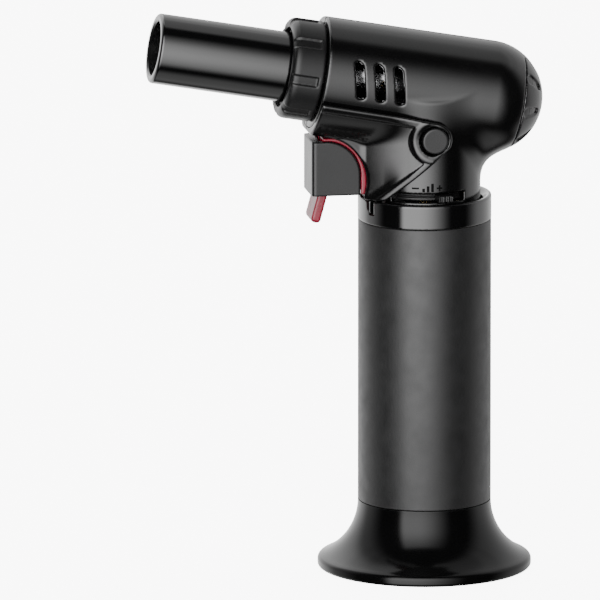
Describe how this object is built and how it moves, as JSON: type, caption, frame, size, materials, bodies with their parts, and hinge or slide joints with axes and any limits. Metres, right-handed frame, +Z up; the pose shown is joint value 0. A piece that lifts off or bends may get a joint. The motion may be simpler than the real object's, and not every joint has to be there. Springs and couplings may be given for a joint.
{
  "type": "butane torch",
  "caption": "Handheld butane torch: upright round grip on a flared foot, tilted burner head, trigger with red safety lever and a black barrel.",
  "frame": {"origin": "middle of the whole torch's bounding box, on the surface that its foot stands on", "axes": "+Z up along the handle, -X towards the nozzle, +Y across the head from the lock button's side"},
  "size_m": [0.1212, 0.065, 0.1738],
  "materials": {
    "gloss": "high-gloss black moulded plastic",
    "satin": "satin black moulded plastic",
    "grip": "matte black soft-touch sleeve",
    "button": "fine matte dark grey plastic",
    "red": "translucent raspberry red plastic",
    "steel": "bright steel",
    "black_metal": "black coated steel",
    "brass": "turned brass",
    "ceramic": "off-white ceramic or hard polymer",
    "rubber": "black rubber",
    "nylon": "pale translucent nylon",
    "hose": "pale flexible tube"
  },
  "bodies": {
    "torch_body": {"base_foot": "gloss", "grip_sleeve": "grip", "fuel_tank": "nylon", "tank_lid": "nylon", "tank_seal": "rubber", "dip_tube": "hose", "fill_valve": "brass", "collar_ring": "gloss", "head_shell_left": "satin", "head_shell_right": "satin", "side_panel_left": "satin", "side_panel_right": "satin", "rear_cap": "satin", "nozzle_barrel": "black_metal", "burner_tube": "steel", "flame_holder": "brass", "jet_holder": "brass", "gas_jet": "brass", "electrode_insulator": "ceramic", "electrode": "steel", "piezo_body": "black_metal", "trigger_spring": "steel", "ignition_lead": "rubber", "valve_body": "brass", "valve_nut": "brass", "lever_pin": "steel", "lever_bracket": "steel", "gas_hose": "hose", "lock_spring": "steel", "shell_screw_1": "steel", "shell_screw_2": "steel", "shell_screw_3": "steel"},
    "trigger": {"trigger": "button", "safety_pin": "steel", "safety_spring": "steel"},
    "safety_lever": {"safety_lever": "red"},
    "piezo_plunger": {"piezo_plunger": "ceramic"},
    "valve_lever": {"valve_lever": "steel"},
    "valve_stem": {"valve_stem": "steel"},
    "gas_adjuster": {"gas_adjuster": "satin"},
    "lock_button": {"lock_button": "button"},
    "air_ring": {"front_ring": "satin"},
    "fill_stem": {"fill_valve_stem": "steel"}
  },
  "joints": [
    {"name": "trigger_press", "type": "slide", "parent": "torch_body", "child": "trigger", "axis": [1, 0, 0], "range_m": [0, 0.0042], "stiffness_N_per_m": 1500, "springref_m": -0.001, "deforming": ["trigger_spring"]},
    {"name": "safety_pull", "type": "hinge", "parent": "trigger", "child": "safety_lever", "pos_m": [-0.00592, 0, 0.1305], "axis": [0, -1, 0], "range_deg": [0, 6], "stiffness_Nm_per_rad": 0.05, "springref_deg": -5.73, "deforming": ["safety_spring"]},
    {"name": "plunger_press", "type": "slide", "parent": "torch_body", "child": "piezo_plunger", "axis": [1, 0, 0], "range_m": [0, 0.0042]},
    {"name": "valve_lever_tilt", "type": "hinge", "parent": "torch_body", "child": "valve_lever", "pos_m": [0.01598, 0, 0.123], "axis": [0, -1, 0], "range_deg": [0, 6]},
    {"name": "valve_stem_lift", "type": "slide", "parent": "torch_body", "child": "valve_stem", "axis": [0, 0, 1], "range_m": [0, 0.0009]},
    {"name": "gas_adjust", "type": "hinge", "parent": "torch_body", "child": "gas_adjuster", "pos_m": [0.02458, 0, 0.11725], "axis": [0, 0, 1], "range_deg": [-38, 8]},
    {"name": "flame_lock", "type": "slide", "parent": "torch_body", "child": "lock_button", "axis": [0, 1, 0], "range_m": [0, 0.0025], "stiffness_N_per_m": 1200, "springref_m": -0.0008, "deforming": ["lock_spring"]},
    {"name": "air_ring_turn", "type": "hinge", "parent": "torch_body", "child": "air_ring", "pos_m": [-0.01419, 0, 0.15535], "axis": [-0.9839, 0, 0.1788], "range_deg": [-30, 30]},
    {"name": "fill_stem_push", "type": "slide", "parent": "torch_body", "child": "fill_stem", "axis": [0, 0, 1], "range_m": [0, 0.0012], "stiffness_N_per_m": 1200, "springref_m": -0.0005}
  ],
  "couplings": [
    {"joint": "plunger_press", "follows": "trigger_press", "ratio": 1},
    {"joint": "valve_lever_tilt", "follows": "trigger_press", "rad_per_m": 24.9},
    {"joint": "valve_stem_lift", "follows": "trigger_press", "ratio": 0.214}
  ]
}
